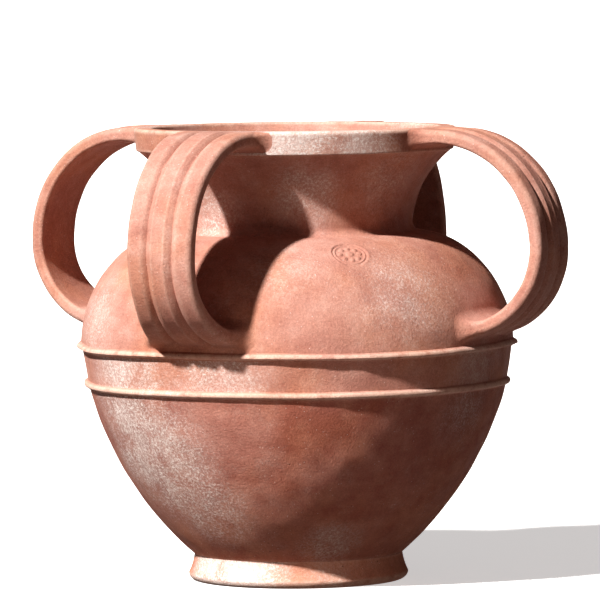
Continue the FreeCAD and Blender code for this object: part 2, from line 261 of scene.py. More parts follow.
def fired_clay(piece, patches=(), tone_shift=0.0, rub=0.5, wiping=WIPED_ON_THE_WHEEL):
    """Weathered terracotta: mottled matt clay, sand grains, pits painted dark as painted shade, pale rubbed
    edges, and salts that bloom as chalky flecks. A patch of bloom is (azimuth in degrees, r, z, reach,
    strength). A tone_shift below 0 darkens the mottled colour as painted shade, and a rub above the usual
    0.5 adds a painted highlight to the pale edges."""
    material = bpy.data.materials.new(piece.name + "_terracotta")
    material.use_nodes = True
    Value.tree = material.node_tree
    shader = material.node_tree.nodes["Principled BSDF"]
    place = Value.node("TexCoord", output=3)
    wiped = Value.node("VectorMath", {"operation": "MULTIPLY"}, {0: place, 1: wiping})

    # The firing: mottled from deep to pink, orange near the ground and mauve higher up.
    clouds = noise(place, 120 * mm, 4, 0.6, 0.5)
    mottle = noise(place, 24 * mm, 6, 0.68)
    streaks = noise(wiped, 70 * mm, 5, 0.6)
    # A tone_shift below 0 shifts the whole piece's mottling darker: painted shade.
    tone = clouds * 0.7 + mottle * 0.7 + streaks * 0.3 - (0.35 - tone_shift)
    colour = Value.node(
        "ValToRGB",
        {"stops": [(0.12, CLAY_DEEP), (0.5, CLAY_WARM), (0.88, CLAY_PINK)]},
        {"Fac": tone.clipped()},
    )

    level = Value.node("SeparateXYZ", {}, {0: place}, output=2)
    flush = noise(place, 110 * mm, 3) + level.between(20 * mm, 170 * mm) * 0.22 - 0.17
    cast = flush.between(0.32, 0.66).tint(FLUSH_ORANGE, FLUSH_MAUVE)
    colour = Value.node(
        "Mix", {"data_type": "RGBA", "blend_type": "MULTIPLY"}, {0: 1.0, 6: colour, 7: cast}, output=2
    )

    # Wear on the edges, and on the ribs' crests partly a painted highlight.
    edge = Value.node("Attribute", {"attribute_name": "rubbed"}, output=2)
    wear_and_highlight = (edge * noise(place, 12 * mm, 5, 0.65).between(0.20, 0.58) * rub).clipped()
    colour = wear_and_highlight.tint(colour, CLAY_WORN)

    # Salts: chalky flecks, dense in the patches and thin elsewhere.
    speckle = noise(place, 3.0 * mm, 6, 0.9).between(0.49, 0.58)
    blotch = noise(place, 30 * mm, 6, 0.66, 0.4)
    spread = blotch.between(0.50, 0.78) * 0.25
    for azimuth, r, z, reach, strength in patches:
        angle = math.radians(azimuth)
        centre = (r * math.cos(angle), r * math.sin(angle), z)
        away = Value.node("VectorMath", {"operation": "DISTANCE"}, {0: place, 1: centre}, output=1)
        near = (1 - away.between(reach * 0.1, reach)) * strength
        spread = spread.math("MAXIMUM", near * (blotch.between(0.28, 0.62) * 0.8 + 0.2))
    chalk = (spread * (speckle * 0.78 + 0.20)).clipped()
    colour = chalk.tint(colour, BLOOM)

    # Sand in the clay: grains, pale grit, and pits where grit has dropped out, painted dark as painted shade
    # in them.
    sand = noise(place, 2.2 * mm, 4, 0.9)
    colour = Value.node(
        "Mix", {"data_type": "RGBA", "blend_type": "OVERLAY"}, {0: 0.6, 6: colour, 7: sand}, output=2
    )
    grit = scattered_dots(place, 5.5 * mm, 0.06, 0.13) * noise(place, 25 * mm, 2).between(0.40, 0.60)
    colour = (grit * 0.6).tint(colour, BLOOM)
    # Pits: dents in the bump, with painted shade as their dark colour.
    pits = scattered_dots(place, 17 * mm, 0.025, 0.055) * noise(place, 40 * mm, 2).between(0.46, 0.54)
    colour = (pits * 0.65).tint(colour, PAINTED_PIT_SHADE)

    Value.tree.links.new(colour.socket, shader.inputs["Base Color"])
    roughness = (0.86 + chalk * 0.1 - wear_and_highlight * 0.05).clipped()
    Value.tree.links.new(roughness.socket, shader.inputs["Roughness"])
    shader.inputs["Specular IOR Level"].default_value = 0.2

    grains = noise(place, 2.6 * mm, 4, 0.75)
    drag = noise(wiped, 12 * mm, 3, 0.6)
    lumps = noise(place, 10 * mm, 3, 0.55)
    relief = grains + drag * 0.10 + lumps * 0.30 - pits * 0.8 + chalk * 0.15
    bump = Value.node("Bump", {}, {"Strength": 1.0, "Distance": 1 * mm, "Height": relief})
    Value.tree.links.new(bump.socket, shader.inputs["Normal"])
    piece.data.materials.clear()
    piece.data.materials.append(material)


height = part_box("rim_band")[1].z
foot_radius, foot_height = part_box("foot_ring")[1].x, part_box("foot_ring")[1].z
floor_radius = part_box("floor_disc")[1].x
FOOT_FLARE = 6.5 * mm
FOOT_EDGE_TUCK = 6.5 * mm
FOOT_EDGE_HEIGHT = 7.5 * mm
FOOT_EDGE_ROUND = 8.5 * mm
FOOT_INNER_ROUND = 3 * mm
FOOT_HOLLOW = 60 * mm
waist_radius = foot_radius - FOOT_FLARE
foot = turned("foot_ring_clay", "foot_ring", trace(
    (floor_radius, FOOT_INNER_ROUND, FOOT_INNER_ROUND),
    (floor_radius + FOOT_INNER_ROUND, 0),
    (foot_radius - FOOT_EDGE_TUCK, 0, FOOT_EDGE_ROUND),
    (foot_radius, FOOT_EDGE_HEIGHT, -FOOT_HOLLOW),
    (waist_radius, foot_height),
    (floor_radius, foot_height),
    step=1.6 * mm,
))
fired_clay(foot, [(-104, foot_radius, 16 * mm, 95 * mm, 3.6), (-45, foot_radius, 8 * mm, 50 * mm, 0.6)])

# ---------------------------------------------------------------- floor
# A flat disc of clay let into the foot ring, with a drain hole pushed through it by hand.

floor_low, floor_high = (corner.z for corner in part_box("floor_disc"))
DRAIN_RADIUS = 14 * mm
DRAIN_EDGE = 3 * mm
floor_piece = turned("floor_clay", "floor_disc", trace(
    (DRAIN_RADIUS, floor_low + DRAIN_EDGE, DRAIN_EDGE),
    (DRAIN_RADIUS + DRAIN_EDGE, floor_low),
    (floor_radius, floor_low),
    (floor_radius, floor_high),
    (DRAIN_RADIUS + DRAIN_EDGE, floor_high, DRAIN_EDGE),
    (DRAIN_RADIUS, floor_high - DRAIN_EDGE),
))
fired_clay(floor_piece)

# ---------------------------------------------------------------- lower bowl
# The thick bowl that carries the pot, thrown on the wheel and wiped with a wet rag, which leaves
# faint level streaks. Damp has drawn salts out of its left side and just above the foot.

WALL = 18 * mm
BOWL_SWEEP = 369.3 * mm
bowl_low, bowl_high = (corner.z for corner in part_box("lower_bowl"))
bowl_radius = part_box("lower_bowl")[1].x
bowl_inside_radius = bowl_radius - WALL
bowl = turned("lower_bowl_clay", "lower_bowl", trace(
    (floor_radius, bowl_low),
    (waist_radius, bowl_low, BOWL_SWEEP),
    (bowl_radius, bowl_high),
    (bowl_inside_radius, bowl_high, -(BOWL_SWEEP - WALL)),
))
# tone_shift=-0.27 paints the whole lower bowl darker: painted shade of a bowl that faces down, away from the
# light.
fired_clay(bowl, [
    (-112, 205 * mm, 145 * mm, 115 * mm, 1.9),
    (-98, 170 * mm, 90 * mm, 78 * mm, 1.2),
    (-120, 222 * mm, 195 * mm, 90 * mm, 1.6),
    (-48, 135 * mm, 50 * mm, 48 * mm, 1.1),
    (-8, 222 * mm, 190 * mm, 60 * mm, 0.5),
    (95, 190 * mm, 120 * mm, 90 * mm, 0.7),
], tone_shift=-0.27)

# ---------------------------------------------------------------- belly band
# The low wall between the two belly ribs, a coil pressed and scraped nearly straight.

band_low, band_high = (corner.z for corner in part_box("belly_band"))
band_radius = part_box("belly_band")[1].x
band = turned("belly_band_clay", "belly_band", trace(
    (bowl_inside_radius, band_low),
    (bowl_radius, band_low),
    (band_radius, band_high),
    (band_radius - WALL, band_high),
))
fired_clay(band, [
    (-115, 235 * mm, 235 * mm, 100 * mm, 1.5),
    (-84, 235 * mm, 232 * mm, 85 * mm, 1.2),
    (-6, 235 * mm, 240 * mm, 70 * mm, 0.7),
    (60, 235 * mm, 232 * mm, 80 * mm, 0.6),
    (170, 235 * mm, 236 * mm, 90 * mm, 0.7),
])

# ---------------------------------------------------------------- shoulder
# The domed upper half of the belly, thrown by itself and luted rim down on the band. A small round
# rosette is pressed into its crown with a carved block: a plain ornament, 40 mm across.

shoulder_low, shoulder_high = (corner.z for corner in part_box("shoulder"))
shoulder_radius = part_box("shoulder")[1].x
THROAT_RADIUS = 128.5 * mm
CROWN_SWEEP = 100 * mm
span = shoulder_radius - THROAT_RADIUS
crown_level = shoulder_high - CROWN_SWEEP
side_sweep = (span**2 + (crown_level - shoulder_low) ** 2 - CROWN_SWEEP**2) / (2 * (span - CROWN_SWEEP))
side_centre = shoulder_radius - side_sweep
reach = side_sweep / (side_sweep - CROWN_SWEEP)
turn_point = (
    side_centre + (THROAT_RADIUS - side_centre) * reach,
    shoulder_low + (crown_level - shoulder_low) * reach,
)


def spaced(start, end, coarse, fine, centre, half):
    """Numbers from start to end, close together near the centre."""
    numbers = [start]
    while numbers[-1] < end - coarse * 0.6:
        numbers.append(numbers[-1] + (fine if abs(numbers[-1] - centre) < half else coarse))
    numbers[-1] = end
    return numbers


def dome_line(fine_from, fine_to):
    """The shoulder's outside from the belly joint to the throat, closer together near the rosette."""
    side = arc((shoulder_radius, shoulder_low), turn_point, side_sweep)
    top = arc(turn_point, (THROAT_RADIUS, shoulder_high), CROWN_SWEEP, 0.7 * mm)
    kept = [(shoulder_radius, shoulder_low)] + side
    for point in top:
        if fine_from < point[0] < fine_to or math.dist(point, kept[-1]) > 3 * mm:
            kept.append(point)
    return kept + [(THROAT_RADIUS, shoulder_high)]


ROSETTE_AZIMUTH = math.radians(-44)
ROSETTE_R = 183 * mm
ROSETTE_RADIUS = 20 * mm
rosette_level = crown_level + math.sqrt(CROWN_SWEEP**2 - (ROSETTE_R - THROAT_RADIUS) ** 2)
rosette_centre = Vector((
    ROSETTE_R * math.cos(ROSETTE_AZIMUTH), ROSETTE_R * math.sin(ROSETTE_AZIMUTH), rosette_level,
))
rosette_lean = (ROSETTE_R - THROAT_RADIUS) / CROWN_SWEEP
rosette_out = Vector((
    rosette_lean * math.cos(ROSETTE_AZIMUTH),
    rosette_lean * math.sin(ROSETTE_AZIMUTH),
    math.sqrt(1 - rosette_lean**2),
))
rosette_across = Vector((-math.sin(ROSETTE_AZIMUTH), math.cos(ROSETTE_AZIMUTH), 0))
rosette_up = rosette_out.cross(rosette_across)


def pressed(points):
    """Depth of the rosette's pressing at points on the shoulder: a ring, eight beads and a button
    stand up in a round hollow, and the clay around it is squeezed up a little."""
    away = points - np.array(rosette_centre)
    u, v = away @ np.array(rosette_across), away @ np.array(rosette_up)
    near = np.abs(away @ np.array(rosette_out)) < 12 * mm
    share, turn = np.hypot(u, v) / ROSETTE_RADIUS, np.arctan2(v, u)
    hollow = np.clip((1 - share) * 14, 0, 1) * 1.5 * mm
    ring = np.exp(-(((share - 0.84) / 0.05) ** 2)) * 1.2 * mm
    from_bead = (turn + math.pi / 8) % (math.pi / 4) - math.pi / 8
    across_bead = np.hypot(share * np.cos(from_bead) - 0.53, share * np.sin(from_bead)) / 0.15
    beads = np.sqrt(np.clip(1 - across_bead**2, 0, 1)) * 1.6 * mm
    button = np.sqrt(np.clip(1 - (share / 0.24) ** 2, 0, 1)) * 1.7 * mm
    lip = np.exp(-(((share - 1.06) / 0.06) ** 2)) * 0.35 * mm
    return (hollow - ring - beads - button - lip) * near


ROSETTE_MARGIN = 23 * mm
dome = dome_line(ROSETTE_R - 22 * mm, ROSETTE_R + 20 * mm)
inside_side, inside_crown = side_sweep - WALL, CROWN_SWEEP - WALL
inside_turn = (
    side_centre + (THROAT_RADIUS - side_centre) * inside_side / (side_sweep - CROWN_SWEEP),
    shoulder_low + (crown_level - shoulder_low) * inside_side / (side_sweep - CROWN_SWEEP),
)
throat_inside = THROAT_RADIUS - WALL
throat_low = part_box("neck")[0].z
shoulder_outline = (
    dome
    + line(dome[-1], (throat_inside, throat_low), 5 * mm)
    + arc((throat_inside, throat_low), inside_turn, -inside_crown, 6 * mm)
    + arc(inside_turn, (shoulder_radius - WALL, shoulder_low), -inside_side, 6 * mm)
    + line((shoulder_radius - WALL, shoulder_low), (shoulder_radius, shoulder_low), 6 * mm)[:-1]
)
fine_angle = 0.7 * mm / ROSETTE_R
angles = spaced(
    -math.pi, math.pi, 2 * math.pi / COLUMNS, fine_angle, ROSETTE_AZIMUTH, ROSETTE_MARGIN / ROSETTE_R
)[:-1]
shoulder = turned("shoulder_clay", "shoulder", shoulder_outline, angles)
points = np.array([v.co for v in shoulder.data.vertices])
normals = np.array([v.normal for v in shoulder.data.vertices])
points -= normals * pressed(points)[:, None]
shoulder.data.vertices.foreach_set("co", points.reshape(-1))
fired_clay(shoulder, [
    (-30, 215 * mm, 318 * mm, 85 * mm, 0.75),
    (-132, 225 * mm, 292 * mm, 70 * mm, 0.7),
    (-68, 195 * mm, 352 * mm, 70 * mm, 0.35),
    (120, 205 * mm, 330 * mm, 110 * mm, 0.6),
    (35, 215 * mm, 300 * mm, 80 * mm, 0.5),
])

# ---------------------------------------------------------------- neck
# The neck flares from the throat to the rim. It is thrown separately; the slip that luted it on was
# smoothed into a small hollow fillet round the throat with a fingertip.

THROAT_FILLET = 9 * mm
NECK_SEAT = 6 * mm
neck_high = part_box("neck")[1].z
neck_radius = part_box("neck")[1].x
flare = neck_radius - THROAT_RADIUS
neck_sweep = (flare**2 + (neck_high - shoulder_high) ** 2) / (2 * flare)
neck_centre = THROAT_RADIUS + neck_sweep


def neck_at(z, sweep):
    """How far out an arc of the neck is at a height."""
    return neck_centre - math.sqrt(sweep**2 - (z - shoulder_high) ** 2)


fillet_top = shoulder_high + THROAT_FILLET
fillet_foot_r = THROAT_RADIUS + THROAT_FILLET * 1.25
fillet_foot_level = crown_level + math.sqrt(CROWN_SWEEP**2 - (fillet_foot_r - THROAT_RADIUS) ** 2)
fillet_foot = (fillet_foot_r, fillet_foot_level)
fillet_head = (neck_at(fillet_top, neck_sweep), fillet_top)
neck_line = (
    [fillet_foot]
    + arc(fillet_foot, fillet_head, -THROAT_FILLET * 1.1, 1.2 * mm)
    + arc(fillet_head, (neck_radius, neck_high), -neck_sweep)
)
neck_inner = (neck_at(neck_high, neck_sweep + WALL), neck_high)
neck_outline = (
    neck_line
    + line(neck_line[-1], neck_inner, 6 * mm)
    + arc(neck_inner, (throat_inside, shoulder_high), neck_sweep + WALL, 4 * mm)
    + line((throat_inside, shoulder_high), (throat_inside, throat_low), 4 * mm)
    + line((throat_inside, throat_low), (throat_inside + NECK_SEAT, throat_low), NECK_SEAT)
    + line((throat_inside + NECK_SEAT, throat_low), (fillet_foot_r, fillet_foot_level - 2 * mm), 6 * mm)
)
neck = turned("neck_clay", "neck", neck_outline)
fired_clay(neck, [
    (-57, 142 * mm, 432 * mm, 55 * mm, 1.3),
    (-105, 132 * mm, 410 * mm, 50 * mm, 1.2),
    (-20, 150 * mm, 445 * mm, 60 * mm, 0.8),
    (130, 140 * mm, 420 * mm, 70 * mm, 0.7),
])

# ---------------------------------------------------------------- rim
# An upright band with rounded edges, thrown on the top of the neck and overhanging it by a hair.

RIM_ROUND = 3.5 * mm
RIM_LIP = 21 * mm
RIM_SINK = 0.6 * mm
RIM_DRAFT = 2 * mm
RIM_ARRIS = 1.4 * mm
rim_low = neck_high
rim_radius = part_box("rim_band")[1].x
rim_top = height - RIM_SINK
rim_underside = (rim_radius - RIM_DRAFT - RIM_ARRIS, rim_low)
rim_face_foot = (rim_radius - RIM_DRAFT, rim_low + RIM_ARRIS)
rim_face_head = (rim_radius, rim_top - RIM_ROUND)
rim_outline = trace(
    (*rim_underside, RIM_ARRIS),
    rim_face_foot,
    (*rim_face_head, RIM_ROUND),
    (rim_radius - RIM_ROUND, rim_top),
    (rim_radius - RIM_LIP + RIM_ROUND, rim_top, RIM_ROUND),
    (rim_radius - RIM_LIP, rim_top - RIM_ROUND),
    neck_inner,
    step=1.5 * mm,
)
rim = turned("rim_clay", "rim_band", rim_outline)
fired_clay(rim, [
    (-64, rim_radius, 487 * mm, 100 * mm, 2.8),
    (-38, rim_radius, 482 * mm, 60 * mm, 2.2),
    (-100, rim_radius, 490 * mm, 40 * mm, 0.5),
    (60, rim_radius, 487 * mm, 60 * mm, 0.8),
    (200, rim_radius, 487 * mm, 70 * mm, 0.8),
])

# ---------------------------------------------------------------- belly ribs
# Two cords of soft clay laid over the joints of the belly and run smooth with a wet thumb: sloped on
# top and tucked in below. Their crests are rubbed pale, partly wear and partly a painted highlight, and they
# wander a little round the pot.

RIB_RELIEF = 4.7 * mm
RIB_SKIRT = 1.2
RIB_CREST = 0.10
RIB_TOP = 0.64
RIB_UNDERSIDE = 0.46
RIB_ROWS = 60
SKIRT_SINK = 1.6 * mm


def bowl_at(z):
    """How far out the bowl's outside is at a height."""
    across, up = bowl_radius - waist_radius, bowl_high - bowl_low
    chord = math.hypot(across, up)
    offset = math.sqrt(BOWL_SWEEP**2 - chord**2 / 4) / chord
    centre = ((bowl_radius + waist_radius) / 2 - up * offset, (bowl_high + bowl_low) / 2 + across * offset)
    return centre[0] + math.sqrt(BOWL_SWEEP**2 - (z - centre[1]) ** 2)


def belly_at(z):
    """How far out the belly's wall is at a height."""
    if z < bowl_high:
        return bowl_at(z)
    if z < band_high:
        return bowl_radius + (band_radius - bowl_radius) * (z - band_low) / (band_high - band_low)
    return side_centre + math.sqrt(side_sweep**2 - (z - shoulder_low) ** 2)


def rib_profile(v):
    """Share of the rib's relief at a share of its half height: a sloped top and a tucked-in underside."""
    share = (v - RIB_CREST) / (RIB_TOP if v > RIB_CREST else RIB_UNDERSIDE)
    return math.sqrt(max(0, 1 - share**2))


def rib_outline(joint, half, seed):
    """Gives the rib's closed outline for each angle. It sinks into the wall above and below."""
    rng = random.Random(seed)
    wander = [(n, rng.uniform(0.4, 1.0) / n**0.5, rng.uniform(0, 2 * math.pi)) for n in range(2, 15)]

    def at(angle):
        stray = sum(size * math.sin(n * angle + phase) for n, size, phase in wander)
        swell = sum(size * math.sin((n + 3) * angle - phase) for n, size, phase in wander)
        middle = joint + stray * 0.38 * mm
        outline = []
        for i in range(RIB_ROWS + 1):
            v = (i / RIB_ROWS * 2 - 1) * RIB_SKIRT
            around = [rib_profile(v + shift) for shift in (-0.10, -0.05, 0, 0.05, 0.10)]
            sink = SKIRT_SINK * min(max(abs(v - 0.16) - 0.66, 0) / 0.25, 1)
            relief = RIB_RELIEF * (1 + 0.04 * swell) * sum(around) / 5 - 0.15 * mm - sink
            z = middle + v * half
            outline.append((belly_at(z) + relief, z))
        back = belly_at(joint) - 4 * mm
        return outline + [(back, joint + half), (back, joint - half)]

    return at


rib_angles = [math.pi * i / COLUMNS for i in range(2 * COLUMNS)]
for name, node, seed, patches in (
    ("lower_rib_clay", "lower_belly_fillet", 21, [(-105, 236 * mm, 217 * mm, 70 * mm, 0.6)]),
    ("upper_rib_clay", "upper_belly_fillet", 22, [(-12, 243 * mm, 259 * mm, 60 * mm, 0.5)]),
):
    low, high = (corner.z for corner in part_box(node))
    rib = turned(name, node, rib_outline((low + high) / 2, (high - low) / 2, seed), rib_angles)
    # rub=0.6 paints the crests paler than the other pieces' edges: wear, and partly a painted highlight.
    fired_clay(rib, patches, rub=0.6)

# ---------------------------------------------------------------- strap handles
# Four broad straps, pulled wet to three ridges with two grooves between them, bent over from the rim
# and down to the shoulder. Each end is pressed on and its clay smeared out into a fillet.

STRAP_THICKNESS = 16 * mm
STRAP_WIDTH = 77 * mm
WIDTH_AT_RIM = 94 * mm
WIDTH_AT_ROOT = 106 * mm
GROOVE_DEPTH = 5.0 * mm
GROOVE_HALF = 4.2 * mm
GROOVE_CREASE = 1.7 * mm
GROOVE_SHARE = 0.19
CROWN = 1.4 * mm
INNER_EDGE = 3.8 * mm
OUTER_EDGE = 6.2 * mm
LIP = 0.6 * mm
LIP_HALF = 1.7 * mm
LIP_OFFSET = 7.5 * mm
RIM_RUN = 14 * mm
ROOT_TUCK = 23.2 * mm
BEND_RISE = 111 * mm
SKIN = 1.5 * mm
RIM_OVERLAP = 9 * mm
DEEP = 5 * mm
FADE = 24 * mm
ROOT_IN_WALL = 18 * mm
PRESSED_IN = 1.1 * mm
RIM_STATIONS = 45
BEND_STATIONS = 180
ROOT_STATIONS = 190
END_STEPS = 30
MIDDLE_ROWS = 130

crown_line = arc(turn_point, (THROAT_RADIUS, shoulder_high), CROWN_SWEEP, 2 * mm)
wall_line = np.array(
    [(shoulder_radius, shoulder_low)]
    + arc((shoulder_radius, shoulder_low), turn_point, side_sweep)
    + [point for point in crown_line if point[0] > fillet_foot_r]
    + neck_line[:-1]
    + [rim_underside]
    + arc(rim_underside, rim_face_foot, RIM_ARRIS)
    + line(rim_face_foot, rim_face_head)
    + arc(rim_face_head, (rim_radius - RIM_ROUND, rim_top), RIM_ROUND, 1 * mm)
    + [(rim_radius - RIM_LIP, rim_top)]
)


def from_wall(points):
    """Distance of points (x, y, z) out of the pot's wall, and the direction (r, z) straight out."""
    flat = np.column_stack([np.hypot(points[:, 0], points[:, 1]), points[:, 2]])
    start, run = wall_line[:-1], np.diff(wall_line, axis=0)
    best = np.full(len(flat), 1e9)
    out = np.zeros((len(flat), 2))
    for a, d in zip(start, run):
        along = np.clip((flat - a) @ d / (d @ d), 0, 1)
        gap = flat - (a + along[:, None] * d)
        far = np.linalg.norm(gap, axis=1)
        nearer = far < np.abs(best) - 1e-9
        side = np.array([d[1], -d[0]]) / np.linalg.norm(d)
        sign = np.where(gap @ side >= 0, 1.0, -1.0)
        best = np.where(nearer, far * sign, best)
        out = np.where(nearer[:, None], side, out)
    return best, out


def strap_loop():
    """Steps once round the strap's section: which part of it, and a share or an angle along that."""
    quarter = math.pi / 2
    corner = [i / 9 * quarter for i in range(1, 9)]
    loop = [("inner", i / 9 - 1) for i in range(19)]
    loop += [("inner_edge", turn - quarter) for turn in corner]
    loop += [("side", i / 3) for i in range(4)]
    loop += [("outer_edge", turn) for turn in corner]
    loop += [("outer", 1 - i / 48) for i in range(97)]
    loop += [("outer_edge_far", quarter - turn) for turn in corner]
    loop += [("side_far", 1 - i / 3) for i in range(4)]
    loop += [("inner_edge_far", -turn) for turn in corner]
    return loop


def strap_section(half_width, fade, groove_shift, depth):
    """Points of the section across and out, in metres, and which way each faces."""
    half = STRAP_THICKNESS / 2
    groove = half_width * 2 * GROOVE_SHARE
    crown = CROWN * fade
    section = []
    for part, share in strap_loop():
        side = -1 if part.endswith("_far") else 1
        part = part.replace("_far", "")
        if part == "inner":
            section.append((share * (half_width - INNER_EDGE), -half, 0, -1))
        elif part == "side":
            low, high = -half + INNER_EDGE, half - crown - OUTER_EDGE
            section.append((side * half_width, low + (high - low) * share, side, 0))
        elif part == "outer":
            t = share * (half_width - OUTER_EDGE)
            away = [abs(t - groove_shift - g) for g in (-groove, groove)]
            dip = sum(math.exp(-((d / GROOVE_HALF) ** 2)) + math.exp(-d / GROOVE_CREASE) for d in away) / 2
            lips = (-groove + LIP_OFFSET, groove - LIP_OFFSET)
            lip = sum(math.exp(-(((t - groove_shift - g) / LIP_HALF) ** 2)) for g in lips)
            lift = half - crown * share**2 - depth * fade * dip + LIP * fade * lip
            section.append((t, lift, 0, 1))
        else:
            edge, level = (INNER_EDGE, INNER_EDGE - half)
            if part == "outer_edge":
                edge, level = (OUTER_EDGE, half - crown - OUTER_EDGE)
            c, s = math.cos(share), math.sin(share)
            section.append((side * (half_width - edge + edge * c), level + edge * s, side * c, s))
    return np.array(section)


def smooth_step(x):
    x = np.clip(x, 0, 1)
    return x * x * (3 - 2 * x)


def strap_stations(node, root_lift):
    """Down the middle of a strap that stands out along +X: x, z, the way out (x, z), and the width.
    The first stations lie in the rim, then come the bend and the sweep down into the shoulder."""
    half = STRAP_THICKNESS / 2
    top_level, root_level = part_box(node)[1].z - half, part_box(node)[0].z + half
    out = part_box("handle_right")[1].x - half - SKIN
    bend_level = shoulder_low + BEND_RISE
    upper_centre, lower_centre = rim_radius + RIM_RUN, shoulder_radius - ROOT_TUCK

    def on_ellipse(centre, rise, turn, width):
        reach = out - centre
        across, up = rise * math.cos(turn), reach * math.sin(turn)
        size = math.hypot(across, up)
        x, z = centre + reach * math.cos(turn), bend_level + rise * math.sin(turn)
        return x, z, across / size, up / size, width

    stations = []
    start = rim_radius - 30 * mm
    for i in range(RIM_STATIONS):
        x = start + (upper_centre - start) * i / RIM_STATIONS
        stations.append((x, top_level, 0.0, 1.0, WIDTH_AT_RIM))
    for i in range(BEND_STATIONS + 1):
        turn = math.radians(90 - i / BEND_STATIONS * 90)
        width = STRAP_WIDTH + (WIDTH_AT_RIM - STRAP_WIDTH) * (turn / (math.pi / 2)) ** 2.4
        stations.append(on_ellipse(upper_centre, top_level - bend_level, turn, width))
    for i in range(1, ROOT_STATIONS):
        turn = math.radians(-i / BEND_STATIONS * 90)
        width = STRAP_WIDTH + (WIDTH_AT_ROOT - STRAP_WIDTH) * (-turn / math.radians(76)) ** 2.6
        stations.append(on_ellipse(lower_centre, bend_level - root_level, turn, width))
    stations = np.array(stations)
    run = np.concatenate([[0], np.cumsum(np.hypot(*np.diff(stations[:, :2], axis=0).T))])
    middle = run[RIM_STATIONS + BEND_STATIONS + 1]
    stations[:, 1] += root_lift * smooth_step((run - middle) / (run[-1] - middle) * 1.05)
    return stations, run


def strap_skin(stations, run, seed):
    """The strap's surface before its ends are cut: points, and which way each faces. Its grooves and
    edges wander a little, and fade out where the clay was smeared at its ends."""
    rng = random.Random(seed)
    phases = [rng.uniform(0, 2 * math.pi) for _ in range(5)]
    at_rim = np.interp(rim_radius - 5 * mm, stations[:RIM_STATIONS, 0], run[:RIM_STATIONS])
    into_wall = run[-1] - ROOT_IN_WALL
    fade = smooth_step((run - at_rim) / FADE) * smooth_step((into_wall - run) / FADE + 0.1)
    points, facing = [], []
    for (x, z, out_x, out_z, width), s, f in zip(stations, run, fade):
        wave = math.sin(s / (38 * mm) + phases[0]) + math.sin(s / (21 * mm) + phases[1])
        shift = math.sin(s / (45 * mm) + phases[2]) + math.sin(s / (27 * mm) + phases[3])
        depth = GROOVE_DEPTH * (1 + 0.07 * math.sin(s / (33 * mm) + phases[4]))
        section = strap_section(width / 2 + 0.3 * mm * wave, f, 0.35 * mm * shift, depth)
        t, h, face_t, face_h = section.T
        points.append(np.column_stack([x + h * out_x, t, z + h * out_z]))
        facing.append(np.column_stack([face_h * out_x, face_t, face_h * out_z]))
    return np.array(points), np.array(facing)


def crossing(run, values, level, at_rim):
    """Where along the strap a value passes a level, going from its middle to one end."""
    half_way = len(run) // 2
    for i in range(half_way, 0, -1) if at_rim else range(half_way, len(run) - 1):
        k = i - 1 if at_rim else i + 1
        if values[k] < level <= values[i]:
            share = (values[i] - level) / (values[i] - values[k])
            return run[i] + (run[k] - run[i]) * share
    return run[0] if at_rim else run[-1]


def strap_rows(points, run):
    """For each line along the strap, where its rows of points lie: close together near the wall and
    the rim, and ending a little inside them."""
    away = from_wall(points.reshape(-1, 3))[0].reshape(points.shape[:2])
    radius = np.hypot(points[..., 0], points[..., 1])
    overlap = rim_radius - RIM_OVERLAP
    close = 34 * mm
    ramp = close * (np.arange(END_STEPS + 1) / END_STEPS) ** 2
    rows = []
    for far, r in zip(away.T, radius.T):
        rim = max(crossing(run, far, 0, True), crossing(run, r, overlap, True))
        rim_deep = max(crossing(run, far, -DEEP, True), crossing(run, r, overlap - 4 * mm, True))
        root, root_deep = crossing(run, far, 0, False), crossing(run, far, -DEEP, False)
        rows.append(np.concatenate([
            [rim_deep, rim_deep * 0.4 + rim * 0.6],
            rim + ramp,
            np.linspace(rim + close, root - close, MIDDLE_ROWS)[1:-1],
            root - ramp[::-1],
            [root_deep * 0.4 + root * 0.6, root_deep],
        ]))
    return np.array(rows)


def smeared(points, outward, at_rim, face_across, face_out):
    """Flares the strap's ends into fillets on the wall, and sets its top just under the rim's."""
    away, _ = from_wall(points)
    inner, side, outer = np.clip(-face_out, 0, 1) ** 2, face_across**2, np.clip(face_out, 0, 1) ** 2
    along = np.where(
        at_rim,
        inner * 26 * mm + side * 18 * mm + outer * 4 * mm,
        inner * 22 * mm + side * 24 * mm + outer * 6 * mm,
    )
    spread = np.where(
        at_rim,
        inner * 7 * mm + side * 14 * mm,
        inner * 17 * mm + side * 14 * mm + outer * 3 * mm,
    )
    share = 1 - np.clip(away / along, 0, 1)
    flare = spread * (1 - np.sqrt(np.clip(1 - share**2, 0, 1)))
    moved = points + outward * flare[:, None]
    for _ in range(3):
        now, way_out = from_wall(moved)
        r = np.hypot(moved[:, 0], moved[:, 1]) + 1e-9
        step = np.where(flare > 1e-6, np.clip(away, -DEEP, None) - now, 0)
        moved[:, 0] += step * way_out[:, 0] * moved[:, 0] / r
        moved[:, 1] += step * way_out[:, 0] * moved[:, 1] / r
        moved[:, 2] += step * way_out[:, 1]
    on_top = np.clip(face_out, 0, 1) * at_rim
    inside = smooth_step((rim_radius - np.hypot(moved[:, 0], moved[:, 1])) / RIM_OVERLAP)
    moved[:, 2] -= on_top * PRESSED_IN * inside
    return moved, away


